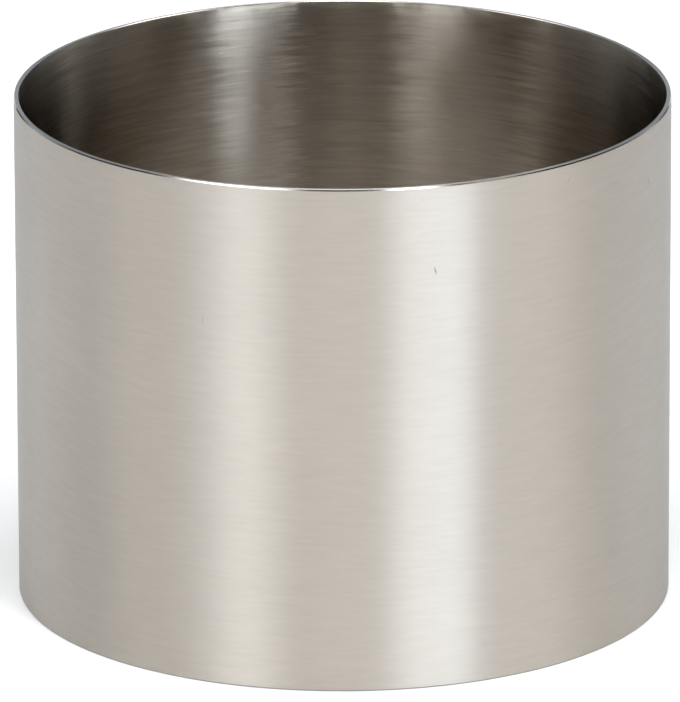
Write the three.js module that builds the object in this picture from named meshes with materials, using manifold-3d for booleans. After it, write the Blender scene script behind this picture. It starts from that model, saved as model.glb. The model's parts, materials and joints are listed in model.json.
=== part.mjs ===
// Cooking ring: a strip of sheet steel rolled into a round hoop, its two ends closed by one
// butt weld that is dressed flush on both faces. The hoop is open at the top and the bottom.
// Lengths are in millimetres. +Z is the ring's axis, and the origin is the middle of the
// circle that the ring stands on. The weld is on the +X side.
import * as THREE from "three";
import { mergeVertices } from "three/addons/utils/BufferGeometryUtils.js";
import Module from "manifold-3d";

// Driving dimensions
const INNER_DIAMETER = 75; // the clear bore, the size such a ring goes by
const RING_HEIGHT = 60; // the width of the strip
const SHEET_THICKNESS = 0.6;
const OUTER_EDGE_RADIUS = 0.15; // eased corners along the outside of the strip's two cut edges
const INNER_EDGE_RADIUS = 0.05; // the crisper corners along the inside of those edges
const LEAST_RIM_LAND = 0.15; // flat that the two corners always leave between them on each rim
const WELD_WIDTH = 1.2; // fused metal between the strip's two ends
const CUT_MARGIN = 1; // how far the cutter for the weld's slot reaches past the wall

// Fineness of the round shapes
const STEPS_AROUND = 144;
const CORNER_DIVISIONS = 1; // an arc is drawn in twice as many steps
const MERGE_DISTANCE = 1e-4; // nearer points than this are one point

// Sizes that follow from the driving dimensions
const INNER_RADIUS = INNER_DIAMETER / 2;
const OUTER_RADIUS = INNER_RADIUS + SHEET_THICKNESS;
const ROOM_FOR_CORNERS = SHEET_THICKNESS - LEAST_RIM_LAND;
const EASING = Math.min(1, ROOM_FOR_CORNERS / (OUTER_EDGE_RADIUS + INNER_EDGE_RADIUS));
const OUTER_CORNER = OUTER_EDGE_RADIUS * EASING;
const INNER_CORNER = INNER_EDGE_RADIUS * EASING;

// Finishes
const BRUSHED_STEEL = { color: 0xd6cec3, roughness: 0.34, metalness: 1 };
const DRESSED_WELD = { color: 0xcec7bb, roughness: 0.46, metalness: 1 };

const solids = await Module();
solids.setup();

// A closed surface as a solid that can be cut.
function solidFrom(geometry) {
  geometry.deleteAttribute("normal");
  geometry.deleteAttribute("uv");
  const merged = mergeVertices(geometry, MERGE_DISTANCE);
  const vertProperties = merged.getAttribute("position").array;
  const triVerts = new Uint32Array(merged.index.array);
  return new solids.Manifold(new solids.Mesh({ numProp: 3, vertProperties, triVerts }));
}

// A cut solid as a named mesh with its finish.
function meshFrom(name, solid, finish) {
  const { vertProperties, triVerts } = solid.getMesh();
  const geometry = new THREE.BufferGeometry();
  geometry.setAttribute("position", new THREE.BufferAttribute(vertProperties, 3));
  geometry.setIndex(new THREE.BufferAttribute(triVerts, 1));
  geometry.computeVertexNormals();
  const mesh = new THREE.Mesh(geometry, new THREE.MeshStandardMaterial(finish));
  mesh.name = name;
  return mesh;
}

// The strip's cross-section, as radius and height: a tall thin rectangle with eased corners.
function stripSection() {
  const outer = OUTER_RADIUS - OUTER_CORNER;
  const inner = INNER_RADIUS + INNER_CORNER;
  const quarter = Math.PI / 2;
  const section = new THREE.Shape();
  section.absarc(outer, OUTER_CORNER, OUTER_CORNER, -quarter, 0);
  section.absarc(outer, RING_HEIGHT - OUTER_CORNER, OUTER_CORNER, 0, quarter);
  section.absarc(inner, RING_HEIGHT - INNER_CORNER, INNER_CORNER, quarter, 2 * quarter);
  section.absarc(inner, INNER_CORNER, INNER_CORNER, 2 * quarter, 3 * quarter);
  section.closePath();
  return section.getPoints(CORNER_DIVISIONS);
}

// The whole hoop, before the strip's ends are told apart from the weld between them.
function closedHoop() {
  const hoop = new THREE.LatheGeometry(stripSection(), STEPS_AROUND);
  hoop.rotateX(Math.PI / 2);
  return solidFrom(hoop);
}

// The slot between the strip's ends, with flat parallel sides, through the wall at +X.
function seamSlot() {
  const slot = new THREE.BoxGeometry(
    SHEET_THICKNESS + 2 * CUT_MARGIN,
    WELD_WIDTH,
    RING_HEIGHT + 2 * CUT_MARGIN,
  );
  slot.translate((INNER_RADIUS + OUTER_RADIUS) / 2, 0, RING_HEIGHT / 2);
  return solidFrom(slot);
}

const hoop = closedHoop();
const slot = seamSlot();

const cookingRing = new THREE.Group();
cookingRing.add(meshFrom("rolled_band", hoop.subtract(slot), BRUSHED_STEEL));
cookingRing.add(meshFrom("weld_seam", hoop.intersect(slot), DRESSED_WELD));

export default cookingRing;
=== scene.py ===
"""Looks of a cooking ring: a strip of brushed steel, rolled into a hoop and closed by a dressed butt weld.

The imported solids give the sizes. Lengths are in metres, or in millimetres where a name ends in mm.
+Z is the ring's axis, the weld is on the +X side, and the camera stands on the -Y side.
"""

import json
import logging
import math
from collections.abc import Sequence
from dataclasses import dataclass
from enum import IntEnum
from typing import ClassVar

import bmesh
import bpy
from mathutils import Matrix, Vector


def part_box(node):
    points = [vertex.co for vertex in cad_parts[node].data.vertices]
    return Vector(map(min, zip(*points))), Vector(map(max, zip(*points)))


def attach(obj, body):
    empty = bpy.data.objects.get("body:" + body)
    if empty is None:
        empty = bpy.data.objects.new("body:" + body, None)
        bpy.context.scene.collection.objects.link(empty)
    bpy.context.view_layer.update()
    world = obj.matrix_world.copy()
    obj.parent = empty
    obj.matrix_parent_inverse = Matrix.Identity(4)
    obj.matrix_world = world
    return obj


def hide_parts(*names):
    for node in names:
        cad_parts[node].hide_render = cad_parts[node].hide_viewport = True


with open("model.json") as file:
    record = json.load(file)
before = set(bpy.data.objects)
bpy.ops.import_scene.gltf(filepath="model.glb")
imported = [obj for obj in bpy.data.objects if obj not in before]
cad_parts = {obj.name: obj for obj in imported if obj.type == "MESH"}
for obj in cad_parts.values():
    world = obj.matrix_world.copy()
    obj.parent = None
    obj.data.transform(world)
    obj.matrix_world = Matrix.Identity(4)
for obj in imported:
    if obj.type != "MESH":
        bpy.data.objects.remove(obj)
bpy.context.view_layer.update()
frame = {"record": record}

LOG = logging.getLogger("cooking_ring")
MM = 0.001
BODY = "root"
PLACE = "strip_place"

# Where the camera stands, as an angle round the axis from the middle of the weld.
CAMERA_SIDE_DEG = 270.0
# How nearly a face looks one way to count as looking that way, as the cosine of the angle between them.
SQUARE_ON = 0.99
# The middle of Blender's noise, and the range that most of it keeps to.
NOISE_MIDDLE = 0.5
NOISE_RANGE = (0.25, 0.75)
NONE_TO_FULL = (0.0, 1.0)
FULL_TO_NONE = (1.0, 0.0)
# A quarter turn from the run of the brush, as a share of a full turn.
ACROSS = 0.25
WHITE = (1.0, 1.0, 1.0, 1.0)

Color = tuple[float, float, float]
Feed = bpy.types.NodeSocket | float | Sequence[float]
Feeds = dict[str, Feed]
Sockets = dict[str, bpy.types.NodeSocket]


class Zone(IntEnum):
    """The parts of the strip's surface, in the order of the material slots."""

    OUTSIDE = 0
    INSIDE = 1
    LAND = 2
    CHAMFER = 3


@dataclass(frozen=True)
class RingSizes:
    """Sizes of the ring, in metres."""

    outer_radius: float
    wall: float
    height: float
    weld_width: float
    outer_chamfer: float = 0.105 * MM
    outer_chamfer_drop: float = 0.05 * MM
    inner_chamfer: float = 0.05 * MM

    @classmethod
    def from_frame(cls) -> "RingSizes":
        """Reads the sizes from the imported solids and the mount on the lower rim.

        Returns:
            The ring's sizes.
        """
        band_low, band_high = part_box("rolled_band")
        weld_low, weld_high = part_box("weld_seam")
        rim = next(mount for mount in frame["record"]["mounts"] if mount["name"] == "base_rim")
        middle_radius = Vector(rim["pos_m"]).xy.length
        return cls(
            outer_radius=band_high.y,
            wall=2 * (band_high.y - middle_radius),
            height=band_high.z - band_low.z,
            weld_width=weld_high.y - weld_low.y,
        )

    @property
    def middle_radius(self) -> float:
        """Radius at the middle of the wall."""
        return self.outer_radius - self.wall / 2

    @property
    def weld_half_angle(self) -> float:
        """Half of the angle that the weld takes up round the ring."""
        return math.asin(self.weld_width / 2 / self.middle_radius)

    def along_mm(self, bearing_deg: float) -> float:
        """Distance along the strip, in millimetres, of a bearing from the camera's side towards the weld."""
        return math.radians(CAMERA_SIDE_DEG + bearing_deg) % math.tau * self.middle_radius / MM


class NodeBench:
    """Places nodes in one node tree and joins them."""

    def __init__(self, tree: bpy.types.NodeTree) -> None:
        """Takes the tree that the nodes go into."""
        self.tree = tree

    def feed(self, socket: bpy.types.NodeSocket, value: Feed) -> None:
        """Links a socket to another, or sets its own value.

        Args:
            socket: The input to feed.
            value: A socket to link from, or a plain value.
        """
        if isinstance(value, bpy.types.NodeSocket):
            self.tree.links.new(value, socket)
        else:
            socket.default_value = value

    def add(self, kind: str, inputs: Feeds | None = None, **settings: object) -> bpy.types.Node:
        """Adds a node and feeds its inputs by name.

        Args:
            kind: The node's type, without Blender's ShaderNode prefix.
            inputs: What feeds the node's inputs, by socket name.
            settings: The node's own properties.
        Returns:
            The new node.
        """
        node = self.tree.nodes.new("ShaderNode" + kind)
        for name, value in settings.items():
            setattr(node, name, value)
        for name, value in (inputs or {}).items():
            self.feed(node.inputs[name], value)
        return node

    def add_in_order(self, kind: str, *terms: Feed, **settings: object) -> bpy.types.Node:
        """Adds a node and feeds its inputs in order, for nodes whose sockets share a name.

        Args:
            kind: The node's type, without Blender's ShaderNode prefix.
            terms: What feeds the node's inputs, from the first on.
            settings: The node's own properties.
        Returns:
            The new node.
        """
        node = self.add(kind, **settings)
        for socket, term in zip(node.inputs, terms):
            self.feed(socket, term)
        return node

    def math(self, operation: str, *terms: Feed) -> bpy.types.NodeSocket:
        """Adds a Math node and returns its result."""
        return self.add_in_order("Math", *terms, operation=operation).outputs["Value"]

    def plus(self, total: Feed, mask: Feed, amount: float) -> bpy.types.NodeSocket:
        """Adds some of a mask to a total and returns the new total."""
        return self.math("MULTIPLY_ADD", mask, amount, total)

    def split(self, vector: Feed) -> tuple[bpy.types.NodeSocket, ...]:
        """Adds a Separate XYZ node and returns its three outputs."""
        return tuple(self.add("SeparateXYZ", {"Vector": vector}).outputs)

    def join(self, *parts: Feed) -> bpy.types.NodeSocket:
        """Adds a Combine XYZ node and returns its vector."""
        return self.add("CombineXYZ", dict(zip("XYZ", parts))).outputs["Vector"]

    def noise(self, place: Feed, scale: float, **settings: float) -> bpy.types.NodeSocket:
        """Adds a Noise Texture node.

        Args:
            place: Where the noise is read.
            scale: How many of its waves fit in a unit of length.
            settings: Its Detail and Roughness, where they aren't Blender's own.
        Returns:
            The noise.
        """
        return self.add("TexNoise", {"Vector": place, "Scale": scale, **settings}).outputs["Fac"]

    def remap(self, value: Feed, old: tuple[float, float], new: tuple[float, float]) -> bpy.types.NodeSocket:
        """Adds a clamped Map Range node.

        Args:
            value: What is mapped.
            old: The range that comes in.
            new: The range that goes out.
        Returns:
            The mapped value.
        """
        ranges = {"From Min": old[0], "From Max": old[1], "To Min": new[0], "To Max": new[1]}
        return self.add("MapRange", {"Value": value, **ranges}).outputs["Result"]

    def tint(self, color: Color, shade: Feed) -> bpy.types.NodeSocket:
        """Multiplies a colour by a shade that changes over the surface.

        Args:
            color: The plain colour.
            shade: How bright it is, with 1 as it is.
        Returns:
            The shaded colour.
        """
        node = self.add_in_order("VectorMath", color, operation="SCALE")
        self.feed(node.inputs["Scale"], shade)
        return node.outputs["Vector"]


@dataclass(frozen=True)
class Socket:
    """A named socket of a node group."""

    name: str
    kind: str = "NodeSocketFloat"


class EffectGroup:
    """A node group that several finishes or lights share. Subclasses name the sockets and wire the nodes."""

    name: str = ""
    inputs: tuple[Socket, ...] = ()
    outputs: tuple[Socket, ...] = ()

    def wire(self, bench: NodeBench, given: Feeds) -> Sockets:
        """Makes the effect from what it is given.

        Args:
            bench: Places the effect's nodes.
            given: What feeds the effect, by input name.
        Returns:
            What the effect puts out, by output name.
        """
        raise NotImplementedError

    def tree(self) -> bpy.types.NodeTree:
        """Builds the group the first time, and finds it after that.

        Returns:
            The node group.
        """
        if self.name in bpy.data.node_groups:
            return bpy.data.node_groups[self.name]
        tree = bpy.data.node_groups.new(self.name, "ShaderNodeTree")
        for socket in self.inputs:
            tree.interface.new_socket(socket.name, in_out="INPUT", socket_type=socket.kind)
        for socket in self.outputs:
            tree.interface.new_socket(socket.name, in_out="OUTPUT", socket_type=socket.kind)
        entry = tree.nodes.new("NodeGroupInput")
        leave = tree.nodes.new("NodeGroupOutput")
        bench = NodeBench(tree)
        given = {socket.name: entry.outputs[socket.name] for socket in self.inputs}
        for name, value in self.wire(bench, given).items():
            bench.feed(leave.inputs[name], value)
        return tree

    def place(self, bench: NodeBench, given: Feeds) -> Sockets:
        """Puts the group into a material or a world.

        Args:
            bench: Places nodes in the material or the world.
            given: What feeds the group, by input name.
        Returns:
            The group's outputs, by name.
        """
        node = bench.add("Group", given, node_tree=self.tree())
        return {socket.name: node.outputs[socket.name] for socket in self.outputs}


class BrushLines(EffectGroup):
    """Fine lines along the strip, as an abrasive belt leaves them."""

    name = "brush_lines"
    inputs = (Socket("Place", "NodeSocketVector"), Socket("Length"), Socket("Pitch"), Socket("Sway"))
    outputs = (Socket("Lines"),)

    sway_size_mm = 22.0
    sway_detail = 1.0
    line_detail = 3.0
    line_roughness = 0.65

    def wire(self, bench: NodeBench, given: Feeds) -> Sockets:
        """Stretches noise along the strip, with a slow sway across it.

        Args:
            bench: Places the effect's nodes.
            given: The place on the strip, and the lines' length, pitch and sway in millimetres.
        Returns:
            The lines, from about 0 in a groove to 1 on a ridge.
        """
        slow = bench.noise(given["Place"], 1 / self.sway_size_mm, Detail=self.sway_detail)
        sway = bench.math("MULTIPLY", bench.math("SUBTRACT", slow, NOISE_MIDDLE), given["Sway"])
        along, across, depth = bench.split(given["Place"])
        stretched = bench.join(
            bench.math("DIVIDE", along, given["Length"]),
            bench.math("DIVIDE", bench.math("ADD", across, sway), given["Pitch"]),
            bench.math("DIVIDE", depth, given["Pitch"]),
        )
        return {"Lines": bench.noise(stretched, 1.0, Detail=self.line_detail, Roughness=self.line_roughness)}


class HandlingMarks(EffectGroup):
    """Cloudy patches that handling and washing leave on steel, and stray hairline scratches."""

    name = "handling_marks"
    inputs = (Socket("Place", "NodeSocketVector"),)
    outputs = (Socket("Patches"), Socket("Hairlines"))

    patch_size_mm = 14.0
    patch_detail = 3.0
    patch_roughness = 0.55
    patch_range = (0.35, 0.65)
    hairline_run_mm = 20.0
    hairline_spread_mm = 2.4
    hairline_detail = 1.0
    hairline_level = 0.025
    hairline_patches = (0.60, 0.66)

    def wire(self, bench: NodeBench, given: Feeds) -> Sockets:
        """Makes both masks. A hairline is a thin contour of slow noise, and shows only in some patches.

        Args:
            bench: Places the effect's nodes.
            given: The place on the strip.
        Returns:
            The patches and the hairlines, each from 0 where there is nothing to 1.
        """
        cloud = bench.noise(
            given["Place"], 1 / self.patch_size_mm, Detail=self.patch_detail, Roughness=self.patch_roughness
        )
        drawn_out = bench.add(
            "Mapping",
            {
                "Vector": given["Place"],
                "Scale": (self.hairline_run_mm, self.hairline_spread_mm, self.hairline_spread_mm),
            },
            vector_type="TEXTURE",
        ).outputs["Vector"]
        slow = bench.noise(drawn_out, 1.0, Detail=self.hairline_detail)
        aside = bench.math("ABSOLUTE", bench.math("SUBTRACT", slow, NOISE_MIDDLE))
        contour = bench.remap(aside, (0.0, self.hairline_level), FULL_TO_NONE)
        here_and_there = bench.remap(cloud, self.hairline_patches, NONE_TO_FULL)
        return {
            "Patches": bench.remap(cloud, self.patch_range, NONE_TO_FULL),
            "Hairlines": bench.math("MULTIPLY", contour, here_and_there),
        }


class EdgeRub(EffectGroup):
    """The strip along each rim that deburring and stacking have rubbed."""

    name = "edge_rub"
    inputs = (Socket("Place", "NodeSocketVector"), Socket("Strip Width"), Socket("Reach"))
    outputs = (Socket("Rub"),)

    uneven_size_mm = 5.0
    uneven_detail = 2.0
    uneven_range = (0.3, 0.7)
    rub_range = (0.7, 1.3)

    def wire(self, bench: NodeBench, given: Feeds) -> Sockets:
        """Fades from the nearer rim, unevenly along it.

        Args:
            bench: Places the effect's nodes.
            given: The place on the strip, the strip's width and how far the rub reaches, in millimetres.
        Returns:
            The rub, from about 1 at a rim to 0.
        """
        across = bench.split(given["Place"])[1]
        rest = bench.math("SUBTRACT", given["Strip Width"], across)
        nearer = bench.math("MINIMUM", across, rest)
        falling = bench.math("DIVIDE", nearer, bench.math("MULTIPLY", given["Reach"], -1.0))
        fade = bench.math("EXPONENT", falling)
        uneven = bench.noise(given["Place"], 1 / self.uneven_size_mm, Detail=self.uneven_detail)
        return {"Rub": bench.math("MULTIPLY", fade, bench.remap(uneven, self.uneven_range, self.rub_range))}


@dataclass(frozen=True)
class Grain:
    """The lines that the last abrasive left along the strip.

    Shade and haze are how far the lines change the colour and the roughness, both up and down.
    Lean is how far the run of a stroke turns from the strip's own.
    """

    length_mm: float
    pitch_mm: float
    sway_mm: float
    depth_mm: float
    shade: float
    haze: float
    lean_deg: float = 0.0


@dataclass(frozen=True)
class Wear:
    """Traces of use: patches, stray hairlines and the rubbed strip along each rim.

    A haze adds to the roughness, a painted glint adds to the brightness of the hairlines, and a depth is
    taken off the surface.
    """

    patch_haze: float = 0.0
    hairline_depth_mm: float = 0.0
    hairline_painted_glint: float = 0.0
    rub_haze: float = 0.0
    rub_depth_mm: float = 0.0
    rub_reach_mm: float = 1.0


@dataclass(frozen=True)
class Nick:
    """A small mark at one place on the strip.

    Its bearing is from the camera's side towards the weld. Before it leans, its length is up the strip.
    """

    bearing_deg: float
    height_mm: float
    length_mm: float
    width_mm: float
    lean_deg: float = 0.0
    # A shade below 0 darkens the mark. Above 0 it brightens it, as a painted glint on the scuffs inside.
    shade: float = -0.3
    depth_mm: float = 0.002

    # Far more than the wall, so that a mark fades only along the surface.
    through_mm: ClassVar[float] = 100.0

    def mask(self, bench: NodeBench, place: Feed, sizes: RingSizes) -> bpy.types.NodeSocket:
        """Makes the mark's mask, a slim spot that fades to its edges.

        Args:
            bench: Places nodes in the material.
            place: Where the surface is on the strip.
            sizes: The ring's sizes.
        Returns:
            A mask from 0 to 1.
        """
        local = bench.add(
            "Mapping",
            {
                "Vector": place,
                "Location": (sizes.along_mm(self.bearing_deg), self.height_mm, 0.0),
                "Rotation": (0.0, 0.0, math.radians(-self.lean_deg)),
                "Scale": (self.width_mm, self.length_mm, self.through_mm),
            },
            vector_type="TEXTURE",
        ).outputs["Vector"]
        return bench.add("TexGradient", {"Vector": local}, gradient_type="SPHERICAL").outputs["Fac"]


@dataclass(frozen=True)
class Masks:
    """Where each effect shows on one finish, as sockets of its material."""

    lines: bpy.types.NodeSocket
    patches: bpy.types.NodeSocket
    hairlines: bpy.types.NodeSocket
    rub: bpy.types.NodeSocket
    nicks: tuple[tuple[Nick, bpy.types.NodeSocket], ...]


@dataclass(frozen=True)
class SteelFinish:
    """One finish of the steel: its colour, its gloss, its grain and its wear.

    Stretch is how far the gloss is drawn out across the brush lines. Short haze is the share of the shine
    whose haze ends short.
    """

    name: str
    color: Color
    roughness: float
    stretch: float
    grain: Grain
    short_haze: float = 0.0
    wear: Wear = Wear()
    nicks: tuple[Nick, ...] = ()

    def strokes(self, place: Feed) -> Feeds:
        """Gathers what feeds the brush lines.

        Args:
            place: Where the surface is on the strip.
        Returns:
            The feeds, by the brush lines' input names.
        """
        grain = self.grain
        return {"Place": place, "Length": grain.length_mm, "Pitch": grain.pitch_mm, "Sway": grain.sway_mm}

    def masks(self, bench: NodeBench, place: Feed, sizes: RingSizes) -> Masks:
        """Places every effect in the material.

        Args:
            bench: Places nodes in the material.
            place: Where the surface is on the strip.
            sizes: The ring's sizes.
        Returns:
            Where each effect shows.
        """
        lines = BrushLines().place(bench, self.strokes(place))
        marks = HandlingMarks().place(bench, {"Place": place})
        rub = EdgeRub().place(
            bench, {"Place": place, "Strip Width": sizes.height / MM, "Reach": self.wear.rub_reach_mm}
        )
        nicks = tuple((nick, nick.mask(bench, place, sizes)) for nick in self.nicks)
        return Masks(lines["Lines"], marks["Patches"], marks["Hairlines"], rub["Rub"], nicks)

    def shade(self, bench: NodeBench, masks: Masks) -> bpy.types.NodeSocket:
        """Makes how bright the steel's colour is, with 1 as it is.

        Args:
            bench: Places nodes in the material.
            masks: Where each effect shows.
        Returns:
            The shade.
        """
        shade = bench.remap(masks.lines, NOISE_RANGE, (1 - self.grain.shade, 1 + self.grain.shade))
        # Inside, the hairlines are brightened here as painted glints.
        shade = bench.plus(shade, masks.hairlines, self.wear.hairline_painted_glint)
        # A nick's shade below 0 darkens it; inside, the scuffs' shade above 0 is a painted glint.
        for nick, mask in masks.nicks:
            shade = bench.plus(shade, mask, nick.shade)
        return shade

    def haze(self, bench: NodeBench, masks: Masks) -> bpy.types.NodeSocket:
        """Makes the steel's roughness, less on the ridges of the brush lines and more where it is worn.

        Args:
            bench: Places nodes in the material.
            masks: Where each effect shows.
        Returns:
            The roughness.
        """
        haze = bench.remap(masks.lines, NOISE_RANGE, (self.grain.haze, -self.grain.haze))
        haze = bench.plus(haze, masks.patches, self.wear.patch_haze)
        haze = bench.plus(haze, masks.rub, self.wear.rub_haze)
        return bench.math("ADD", haze, self.roughness)

    def relief(self, bench: NodeBench, masks: Masks) -> bpy.types.NodeSocket:
        """Makes the fine relief: the brush lines, the scratches, the rubbed rims and the nicks.

        Args:
            bench: Places nodes in the material.
            masks: Where each effect shows.
        Returns:
            The way that the surface faces.
        """
        height = bench.math("MULTIPLY", masks.lines, self.grain.depth_mm)
        height = bench.plus(height, masks.hairlines, -self.wear.hairline_depth_mm)
        height = bench.plus(height, masks.rub, -self.wear.rub_depth_mm)
        for nick, mask in masks.nicks:
            height = bench.plus(height, mask, -nick.depth_mm)
        return bench.add("Bump", {"Height": height, "Distance": MM}).outputs["Normal"]

    def stroke_run(self, bench: NodeBench, place: Feed) -> bpy.types.NodeSocket:
        """Runs the gloss round the ring, and leans it a little up or down with each stroke of the brush.

        The lines that lean it are drawn in the material itself, not in a group.

        Args:
            bench: Places nodes in the material.
            place: Where the surface is on the strip.
        Returns:
            The run of the strokes as a direction along the surface.
        """
        axis = (0.0, 0.0, 1.0)
        point = bench.add("TexCoord").outputs["Object"]
        around = bench.add_in_order("VectorMath", axis, point, operation="CROSS_PRODUCT").outputs["Vector"]
        if self.grain.lean_deg == 0:
            return around
        lines = BrushLines().wire(bench, self.strokes(place))["Lines"]
        lean = math.radians(self.grain.lean_deg)
        angle = bench.remap(lines, NOISE_RANGE, (-lean, lean))
        facing = bench.add("NewGeometry").outputs["Normal"]
        turned = bench.add(
            "VectorRotate", {"Vector": around, "Axis": facing, "Angle": angle}, rotation_type="AXIS_ANGLE"
        )
        return turned.outputs["Vector"]

    def steel(self, bench: NodeBench, look: Feeds) -> bpy.types.NodeSocket:
        """Makes the steel's shader, with one haze that trails far off and one that ends short.

        Args:
            bench: Places nodes in the material.
            look: The colour, roughness, relief and brush run that both hazes share.
        Returns:
            The shader.
        """
        long_haze = bench.add(
            "BsdfPrincipled",
            {**look, "Metallic": 1.0, "Anisotropic": self.stretch, "Anisotropic Rotation": ACROSS},
        ).outputs["BSDF"]
        if self.short_haze == 0:
            return long_haze
        short_haze = bench.add(
            "BsdfMetallic",
            {**look, "Edge Tint": WHITE, "Anisotropy": self.stretch, "Rotation": ACROSS},
            distribution="BECKMANN",
        ).outputs["BSDF"]
        return bench.add_in_order("MixShader", self.short_haze, long_haze, short_haze).outputs["Shader"]

    def build(self, sizes: RingSizes) -> bpy.types.Material:
        """Makes the material.

        Args:
            sizes: The ring's sizes.
        Returns:
            A metal whose gloss is drawn out across its brush lines.
        """
        material = bpy.data.materials.new(self.name)
        material.use_nodes = True
        material.node_tree.nodes.clear()
        bench = NodeBench(material.node_tree)
        place = bench.add("Attribute", attribute_name=PLACE).outputs["Vector"]
        masks = self.masks(bench, place, sizes)
        look = {
            "Base Color": bench.tint(self.color, self.shade(bench, masks)),
            "Roughness": self.haze(bench, masks),
            "Normal": self.relief(bench, masks),
            "Tangent": self.stroke_run(bench, place),
        }
        bench.add("OutputMaterial", {"Surface": self.steel(bench, look)})
        return material


# Colours of the steel. The inside's is darker with painted shade, and the chamfer's is partly so.
STEEL: Color = (0.673, 0.613, 0.541)
# Painted shade: the inside is the same steel as the outside, with its colour darkened for the shade inside
# the ring.
INSIDE_STEEL_PAINTED_SHADE: Color = (0.405, 0.357, 0.30)
WELD_STEEL: Color = (0.63, 0.585, 0.52)
# Partly painted shade: the chamfer's colour is darker than the outside's, which deepens the dark line along
# each rim. The chamfer's tilt also gives that line, by what it reflects.
CUT_STEEL_WITH_PAINTED_SHADE: Color = (0.43, 0.40, 0.36)
LAND_STEEL: Color = (0.50, 0.465, 0.415)

# Values that several finishes share
MOSTLY_SHORT_HAZE = 0.95
INSIDE_ROLL_OFF_MM = 0.24
INSIDE_ROLL_OFF_REACH_MM = 1.1
# A scuff stands a little proud, so its depth is less than nothing; its brightness is a painted glint.
SCUFF_DEPTH_MM = -0.002

OUTSIDE_NICKS = (
    Nick(
        bearing_deg=15.9, height_mm=50.0, length_mm=0.6, width_mm=0.15,
        lean_deg=-15, shade=-0.6, depth_mm=0.01,
    ),
    Nick(bearing_deg=-24.7, height_mm=43.6, length_mm=0.8, width_mm=0.09, shade=-0.25),
    Nick(bearing_deg=-25.3, height_mm=43.4, length_mm=0.5, width_mm=0.08, shade=-0.1),
    Nick(bearing_deg=42.5, height_mm=58.1, length_mm=0.9, width_mm=0.09, lean_deg=45),
    Nick(bearing_deg=13.6, height_mm=58.5, length_mm=0.2, width_mm=0.12, shade=-0.2),
    Nick(bearing_deg=67.1, height_mm=53.75, length_mm=0.5, width_mm=0.2),
    Nick(bearing_deg=-56.4, height_mm=1.3, length_mm=0.15, width_mm=0.15, shade=-0.5),
)
# One dark nick, then five scuffs whose colour is painted brighter for the light they catch: painted glints.
INSIDE_NICKS_AND_PAINTED_GLINTS = (
    Nick(bearing_deg=192.3, height_mm=57.1, length_mm=0.4, width_mm=0.15),
    Nick(
        bearing_deg=198.0, height_mm=51.85, length_mm=0.12, width_mm=1.2,
        shade=0.5, depth_mm=SCUFF_DEPTH_MM,
    ),
    Nick(
        bearing_deg=202.6, height_mm=54.4, length_mm=0.15, width_mm=0.4,
        shade=0.4, depth_mm=SCUFF_DEPTH_MM,
    ),
    Nick(
        bearing_deg=159.8, height_mm=50.5, length_mm=0.12, width_mm=1.4,
        lean_deg=-17, shade=0.3, depth_mm=SCUFF_DEPTH_MM,
    ),
    Nick(
        bearing_deg=165.5, height_mm=48.2, length_mm=0.15, width_mm=0.8,
        lean_deg=-7, shade=0.35, depth_mm=SCUFF_DEPTH_MM,
    ),
    Nick(
        bearing_deg=164.7, height_mm=40.7, length_mm=0.12, width_mm=3.5,
        lean_deg=-2.5, shade=0.3, depth_mm=SCUFF_DEPTH_MM,
    ),
)

SATIN_OUTSIDE = SteelFinish(
    name="satin_outside",
    color=STEEL,
    roughness=0.50,
    stretch=1.0,
    grain=Grain(length_mm=4.0, pitch_mm=0.42, sway_mm=0.3, depth_mm=0.0008, shade=0.034, haze=0.012),
    wear=Wear(patch_haze=0.012, hairline_depth_mm=0.0004, rub_haze=0.02, rub_reach_mm=0.6),
    nicks=OUTSIDE_NICKS,
)
# Its darker colour is painted shade for the inside of the ring.
BELTED_INSIDE = SteelFinish(
    name="belted_inside",
    color=INSIDE_STEEL_PAINTED_SHADE,
    roughness=0.33,
    stretch=1.0,
    short_haze=MOSTLY_SHORT_HAZE,
    grain=Grain(
        length_mm=8.0, pitch_mm=0.42, sway_mm=0.6, depth_mm=0.02, shade=0.24, haze=0.02, lean_deg=5.0
    ),
    wear=Wear(
        patch_haze=0.01,
        # The hairlines' brightness is a painted glint.
        hairline_painted_glint=0.12,
        rub_haze=0.01,
        rub_depth_mm=INSIDE_ROLL_OFF_MM,
        rub_reach_mm=INSIDE_ROLL_OFF_REACH_MM,
    ),
    nicks=INSIDE_NICKS_AND_PAINTED_GLINTS,
)
BRUSHED_LAND = SteelFinish(
    name="brushed_land",
    color=LAND_STEEL,
    roughness=0.36,
    stretch=0.9,
    short_haze=MOSTLY_SHORT_HAZE,
    grain=Grain(length_mm=2.0, pitch_mm=0.08, sway_mm=0.1, depth_mm=0.001, shade=0.04, haze=0.03),
    wear=Wear(patch_haze=0.03),
)
# Its darker colour is partly painted shade along the rims.
CUT_CHAMFER = SteelFinish(
    name="cut_chamfer",
    color=CUT_STEEL_WITH_PAINTED_SHADE,
    roughness=0.15,
    stretch=0.0,
    grain=Grain(length_mm=1.5, pitch_mm=0.08, sway_mm=0.1, depth_mm=0.0005, shade=0.08, haze=0.02),
    wear=Wear(patch_haze=0.02),
)
DRESSED_WELD = SteelFinish(
    name="dressed_weld",
    color=WELD_STEEL,
    roughness=0.50,
    stretch=1.0,
    grain=Grain(length_mm=1.2, pitch_mm=0.2, sway_mm=0.3, depth_mm=0.001, shade=0.03, haze=0.02),
    wear=Wear(patch_haze=0.02, hairline_depth_mm=0.001),
)
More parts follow.
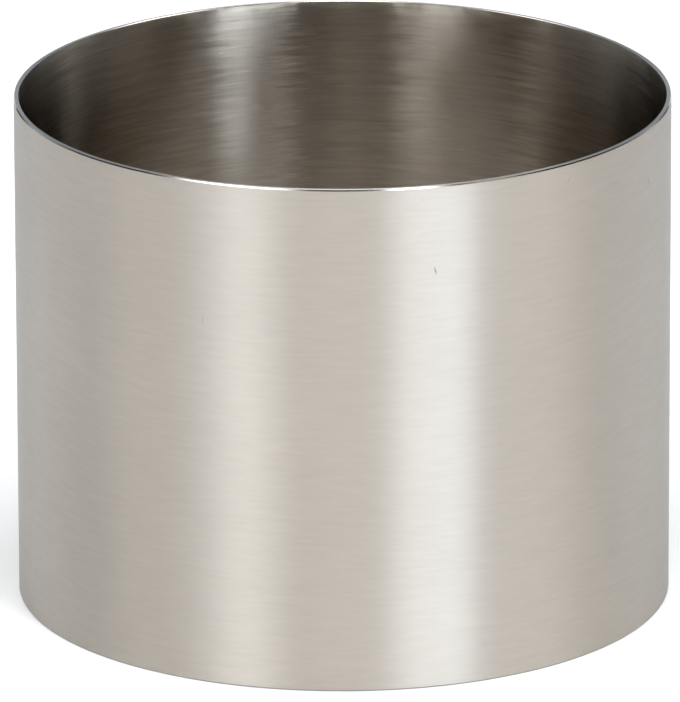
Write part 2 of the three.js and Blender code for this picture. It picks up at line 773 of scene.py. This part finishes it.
# Its darker colour is the inside's painted shade too.
DRESSED_WELD_INSIDE = SteelFinish(
    name="dressed_weld_inside",
    color=INSIDE_STEEL_PAINTED_SHADE,
    roughness=0.32,
    stretch=1.0,
    short_haze=MOSTLY_SHORT_HAZE,
    grain=Grain(
        length_mm=1.2, pitch_mm=0.3, sway_mm=0.4, depth_mm=0.002, shade=0.08, haze=0.03, lean_deg=6.0
    ),
    wear=Wear(
        patch_haze=0.02,
        hairline_painted_glint=0.1,
        rub_depth_mm=INSIDE_ROLL_OFF_MM,
        rub_reach_mm=INSIDE_ROLL_OFF_REACH_MM,
    ),
)


@dataclass
class SteelStrip:
    """A stretch of the rolled strip: its section swept round the ring's axis."""

    name: str
    node: str
    slot: str
    sizes: RingSizes
    start_angle: float
    sweep_angle: float
    steps: int
    finishes: dict[Zone, SteelFinish]

    def section(self, bm: bmesh.types.BMesh) -> None:
        """Draws the strip's section, a tall thin face with eased corners, where the sweep starts.

        Args:
            bm: The mesh to draw in.
        """
        sizes = self.sizes
        middle = Matrix.Translation((sizes.middle_radius, 0, sizes.height / 2))
        shape = Matrix.Diagonal((sizes.wall, sizes.height, 1, 1))
        upright = Matrix.Rotation(math.pi / 2, 4, "X")
        turned = Matrix.Rotation(self.start_angle, 4, "Z")
        # The operator's size is half of a side, so the face is 1 by 1 before it is shaped.
        bmesh.ops.create_grid(
            bm, x_segments=1, y_segments=1, size=1 / 2, matrix=turned @ middle @ upright @ shape
        )
        outer = [vert for vert in bm.verts if vert.co.xy.length > sizes.middle_radius]
        inner = [vert for vert in bm.verts if vert not in outer]
        for corners, cut in ((outer, sizes.outer_chamfer), (inner, sizes.inner_chamfer)):
            bmesh.ops.bevel(
                bm, geom=corners, offset=cut, offset_type="OFFSET",
                segments=1, profile=0.5, affect="VERTICES", material=-1,
            )
        for vert in bm.verts:
            if vert.co.xy.length > sizes.outer_radius - sizes.outer_chamfer / 2:
                drop = math.copysign(sizes.outer_chamfer_drop, sizes.height / 2 - vert.co.z)
                bmesh.ops.translate(bm, verts=[vert], vec=(0, 0, drop))

    def sweep(self, bm: bmesh.types.BMesh) -> None:
        """Sweeps the section round the axis.

        Args:
            bm: The mesh that holds the section.
        """
        start = bm.faces[:] + bm.edges[:] + bm.verts[:]
        bmesh.ops.spin(bm, geom=start, axis=(0, 0, 1), angle=self.sweep_angle, steps=self.steps)
        bmesh.ops.recalc_face_normals(bm, faces=bm.faces[:])

    def mark_places(self, bm: bmesh.types.BMesh) -> None:
        """Notes where each point is on the strip: along it, up its height and out through its wall.

        The places are in millimetres. The strip starts and ends at the weld.

        Args:
            bm: The mesh of the strip.
        """
        layer = bm.verts.layers.float_vector.new(PLACE)
        sizes = self.sizes
        for vert in bm.verts:
            turn = math.atan2(vert.co.y, vert.co.x) - self.start_angle
            # A point well short of the start has gone on round the ring.
            if turn < -sizes.weld_half_angle / 2:
                turn += math.tau
            along = (turn + self.start_angle) * sizes.middle_radius
            depth = vert.co.xy.length - sizes.middle_radius
            vert[layer] = Vector((along, vert.co.z, depth)) / MM

    def mark_zones(self, bm: bmesh.types.BMesh) -> None:
        """Gives each face the material slot of its zone, and keeps the borders between zones crisp.

        Only the two ends of the strip look neither up or down nor in or out, and they are flat.

        Args:
            bm: The mesh of the strip.
        """
        for face in bm.faces:
            outwards = face.normal.xy.dot(face.calc_center_median().xy.normalized())
            upwards = abs(face.normal.z)
            if upwards > SQUARE_ON:
                face.material_index = Zone.LAND
            elif outwards > SQUARE_ON:
                face.material_index = Zone.OUTSIDE
            elif outwards < -SQUARE_ON:
                face.material_index = Zone.INSIDE
            else:
                face.material_index = Zone.CHAMFER
            face.smooth = math.hypot(outwards, upwards) > 1 - SQUARE_ON
        for edge in bm.edges:
            edge.smooth = len({face.material_index for face in edge.link_faces}) == 1

    def model(self) -> bpy.types.Mesh:
        """Models the strip.

        Returns:
            Its mesh, with the places and the zones marked.
        """
        bm = bmesh.new()
        self.section(bm)
        self.sweep(bm)
        self.mark_places(bm)
        self.mark_zones(bm)
        mesh = bpy.data.meshes.new(self.name)
        bm.to_mesh(mesh)
        bm.free()
        return mesh

    def dress(self, mesh: bpy.types.Mesh) -> None:
        """Gives the mesh the material of each zone.

        Args:
            mesh: The strip's mesh.
        """
        for zone in Zone:
            finish = self.finishes[zone]
            mesh.materials.append(bpy.data.materials.get(finish.name) or finish.build(self.sizes))

    def build(self) -> bpy.types.Object:
        """Models the strip and dresses it.

        Returns:
            The finished piece, riding on the ring's one body.
        """
        mesh = self.model()
        self.dress(mesh)
        piece = bpy.data.objects.new(self.name, mesh)
        bpy.context.scene.collection.objects.link(piece)
        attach(piece, BODY)
        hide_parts(self.node)
        return piece


def rolled_band(sizes: RingSizes) -> SteelStrip:
    """Describes the band, which runs round the ring from one side of the weld to the other.

    Args:
        sizes: The ring's sizes.
    Returns:
        The band, not built yet.
    """
    half = sizes.weld_half_angle
    return SteelStrip(
        name="steel_band",
        node="rolled_band",
        slot="brushed_steel",
        sizes=sizes,
        start_angle=half,
        sweep_angle=math.tau - 2 * half,
        steps=480,
        finishes={
            Zone.OUTSIDE: SATIN_OUTSIDE,
            Zone.INSIDE: BELTED_INSIDE,
            Zone.LAND: BRUSHED_LAND,
            Zone.CHAMFER: CUT_CHAMFER,
        },
    )


def weld_line(sizes: RingSizes) -> SteelStrip:
    """Describes the weld, which closes the gap between the band's ends with the same section.

    Args:
        sizes: The ring's sizes.
    Returns:
        The weld, not built yet.
    """
    half = sizes.weld_half_angle
    return SteelStrip(
        name="weld_line",
        node="weld_seam",
        slot="dressed_weld",
        sizes=sizes,
        start_angle=-half,
        sweep_angle=2 * half,
        steps=8,
        finishes={
            Zone.OUTSIDE: DRESSED_WELD,
            Zone.INSIDE: DRESSED_WELD_INSIDE,
            Zone.LAND: BRUSHED_LAND,
            Zone.CHAMFER: CUT_CHAMFER,
        },
    )


@dataclass(frozen=True)
class PhotoCamera:
    """The camera that took the photograph, fitted to the ring's rims and side edges."""

    distance: float = 1.356
    elevation_deg: float = 18.07
    aim: tuple[float, float, float] = (-0.382 * MM, 0.0, 28.48 * MM)
    centre_height: float = 30 * MM
    roll_deg: float = -0.173
    focal_px: float = 11629.0
    frame_long_side_px: float = 702.0
    sensor_mm: float = 36.0

    def build(self) -> bpy.types.Object:
        """Sets the camera up as the scene's own.

        Returns:
            The camera.
        """
        data = bpy.data.cameras.new("photo_camera")
        data.sensor_width = self.sensor_mm
        data.lens = self.focal_px / self.frame_long_side_px * self.sensor_mm
        camera = bpy.data.objects.new("photo_camera", data)
        bpy.context.scene.collection.objects.link(camera)
        elevation = math.radians(self.elevation_deg)
        camera.location = (
            0.0,
            -self.distance * math.cos(elevation),
            self.centre_height + self.distance * math.sin(elevation),
        )
        look = (Vector(self.aim) - camera.location).to_track_quat("-Z", "Y").to_matrix()
        roll = Matrix.Rotation(math.radians(self.roll_deg), 3, "Z")
        camera.rotation_euler = (look @ roll).to_euler()
        bpy.context.scene.camera = camera
        return camera


@dataclass(frozen=True)
class SoftBox:
    """A soft light in the studio, far enough away to be the same all over the ring.

    Its azimuth is from the camera's side towards the weld, and its sizes are from its middle to its edges.
    """

    name: str
    azimuth_deg: float
    elevation_deg: float
    half_size_deg: tuple[float, float]
    strength: float
    color: Color = (1.0, 1.0, 1.0)


class SoftGlow(EffectGroup):
    """How strongly a soft light shows in a direction: level across it, with soft edges."""

    name = "soft_glow"
    inputs = (
        Socket("Direction", "NodeSocketVector"),
        Socket("Heading", "NodeSocketVector"),
        Socket("Elevation"),
        Socket("Half Width"),
        Socket("Half Height"),
    )
    outputs = (Socket("Glow"),)

    edge_power = 4.0

    def wire(self, bench: NodeBench, given: Feeds) -> Sockets:
        """Falls off with the angles round the horizon and up it, each as a share of the light's half size.

        Args:
            bench: Places the effect's nodes.
            given: The direction, the light's level heading, and its elevation and half sizes in radians.
        Returns:
            The glow, from 1 in the middle of the light to 0.
        """
        x, y, z = bench.split(given["Direction"])
        flat = bench.join(x, y, 0.0)
        level = bench.add_in_order("VectorMath", flat, operation="NORMALIZE").outputs["Vector"]
        facing = bench.add_in_order("VectorMath", level, given["Heading"], operation="DOT_PRODUCT")
        turn = bench.math("ARCCOSINE", facing.outputs["Value"])
        aside = bench.math("DIVIDE", turn, given["Half Width"])
        rise = bench.math("SUBTRACT", bench.math("ARCSINE", z), given["Elevation"])
        above = bench.math("ABSOLUTE", bench.math("DIVIDE", rise, given["Half Height"]))
        fall = bench.math("ADD", *(bench.math("POWER", share, self.edge_power) for share in (aside, above)))
        return {"Glow": bench.math("EXPONENT", bench.math("MULTIPLY", fall, -1.0))}


# Colours of the light
COOL: Color = (0.86, 0.97, 1.10)
FRESH: Color = (0.90, 0.975, 1.08)
PALE: Color = (0.94, 0.99, 1.05)

# Each light's name, azimuth, elevation, half width and half height, strength and colour
BOXES: tuple[SoftBox, ...] = (
    SoftBox("right_box", 39.4, 17.5, (7, 7), 7.5, COOL),
    SoftBox("right_skirt", 51, 15, (6, 9), 0.8, COOL),
    SoftBox("right_low", 35.8, 2, (10, 5), 10.4, COOL),
    SoftBox("right_top", 30, 52, (7.4, 10.4), 17, FRESH),
    SoftBox("left_box", -27.5, 16, (7.5, 7.9), 2.1, PALE),
    SoftBox("left_low", -36, 2.5, (8, 4.7), 6.8, PALE),
    SoftBox("left_top", -48, 49.1, (22.7, 8), 7.8, PALE),
    SoftBox("front_top", -3, 67.7, (32.5, 8), 10.9),
    SoftBox("front_mid", -3, 34, (7, 9), 0.7),
    SoftBox("right_side", 106, 52, (42, 8), 7.4),
    SoftBox("right_foot", 103, 8, (33, 6), 1.0),
    SoftBox("left_side", -105, 52, (33, 8), 4.6),
    SoftBox("left_foot", -103, 8, (33, 6), 0.78),
    SoftBox("back_top", 180, 42, (6, 9), 5.2),
    SoftBox("back_strip", 184, 16, (72, 8.5), 0.6, COOL),
    SoftBox("back_high", 184, 33, (72, 7), 0.5, COOL),
    SoftBox("left_wing", -78, 17, (6, 8), 0.6, PALE),
)


@dataclass
class Studio:
    """A plain pale floor, with soft lights all round and a plain white backdrop."""

    boxes: tuple[SoftBox, ...] = BOXES
    floor_color: Color = (0.88, 0.88, 0.88)
    floor_roughness: float = 0.9
    floor_radius: float = 8.0
    floor_sides: int = 96
    glossy_bounces: int = 12
    bounces: int = 16

    def build_floor(self) -> bpy.types.Object:
        """Lays the floor under the ring.

        Returns:
            The floor.
        """
        bm = bmesh.new()
        bmesh.ops.create_circle(bm, cap_ends=True, segments=self.floor_sides, radius=self.floor_radius)
        mesh = bpy.data.meshes.new("floor")
        bm.to_mesh(mesh)
        bm.free()
        paper = bpy.data.materials.new("pale_paper")
        paper.use_nodes = True
        surface = paper.node_tree.nodes["Principled BSDF"]
        surface.inputs["Base Color"].default_value = (*self.floor_color, 1.0)
        surface.inputs["Roughness"].default_value = self.floor_roughness
        mesh.materials.append(paper)
        floor = bpy.data.objects.new("floor", mesh)
        bpy.context.scene.collection.objects.link(floor)
        return floor

    def shine(self, bench: NodeBench, direction: Feed, box: SoftBox) -> bpy.types.NodeSocket:
        """Makes one soft light.

        Args:
            bench: Places nodes in the world.
            direction: Which way the world is seen.
            box: The light.
        Returns:
            Its shader, dark in every direction but its own.
        """
        azimuth = math.radians(box.azimuth_deg)
        half_width, half_height = (math.radians(half) for half in box.half_size_deg)
        glow = SoftGlow().place(
            bench,
            {
                "Direction": direction,
                "Heading": (math.sin(azimuth), -math.cos(azimuth), 0.0),
                "Elevation": math.radians(box.elevation_deg),
                "Half Width": half_width,
                "Half Height": half_height,
            },
        )["Glow"]
        strength = bench.math("MULTIPLY", glow, box.strength)
        shine = bench.add("Background", {"Color": (*box.color, 1.0), "Strength": strength})
        return shine.outputs["Background"]

    def build_lights(self) -> bpy.types.World:
        """Lights the scene from all round, with the white backdrop past the floor's edge.

        Returns:
            The world that holds the lights and the backdrop.
        """
        world = bpy.data.worlds.new("studio")
        world.use_nodes = True
        world.node_tree.nodes.clear()
        bench = NodeBench(world.node_tree)
        direction = bench.add("TexCoord").outputs["Generated"]
        first, *others = (self.shine(bench, direction, box) for box in self.boxes)
        light = first
        for shine in others:
            light = bench.add_in_order("AddShader", light, shine).outputs["Shader"]
        backdrop = bench.add("Background", {"Color": WHITE}).outputs["Background"]
        seen = bench.add("LightPath").outputs["Is Camera Ray"]
        shown = bench.add_in_order("MixShader", seen, light, backdrop).outputs["Shader"]
        bench.add("OutputWorld", {"Surface": shown})
        bpy.context.scene.world = world
        return world

    def build(self) -> None:
        """Builds the floor and the lights, and shows colours as a plain camera does."""
        self.build_floor()
        self.build_lights()
        scene = bpy.context.scene
        scene.view_settings.view_transform = "Standard"
        scene.cycles.glossy_bounces = self.glossy_bounces
        scene.cycles.max_bounces = self.bounces


def main() -> None:
    """Builds the studio, the camera and the two pieces."""
    logging.basicConfig(level=logging.INFO, format="%(name)s: %(message)s")
    sizes = RingSizes.from_frame()
    Studio().build()
    PhotoCamera().build()
    for strip in (rolled_band(sizes), weld_line(sizes)):
        piece = strip.build()
        LOG.info("%s: %d faces, stands for %s", piece.name, len(piece.data.polygons), strip.node)


if __name__ == "__main__":
    main()
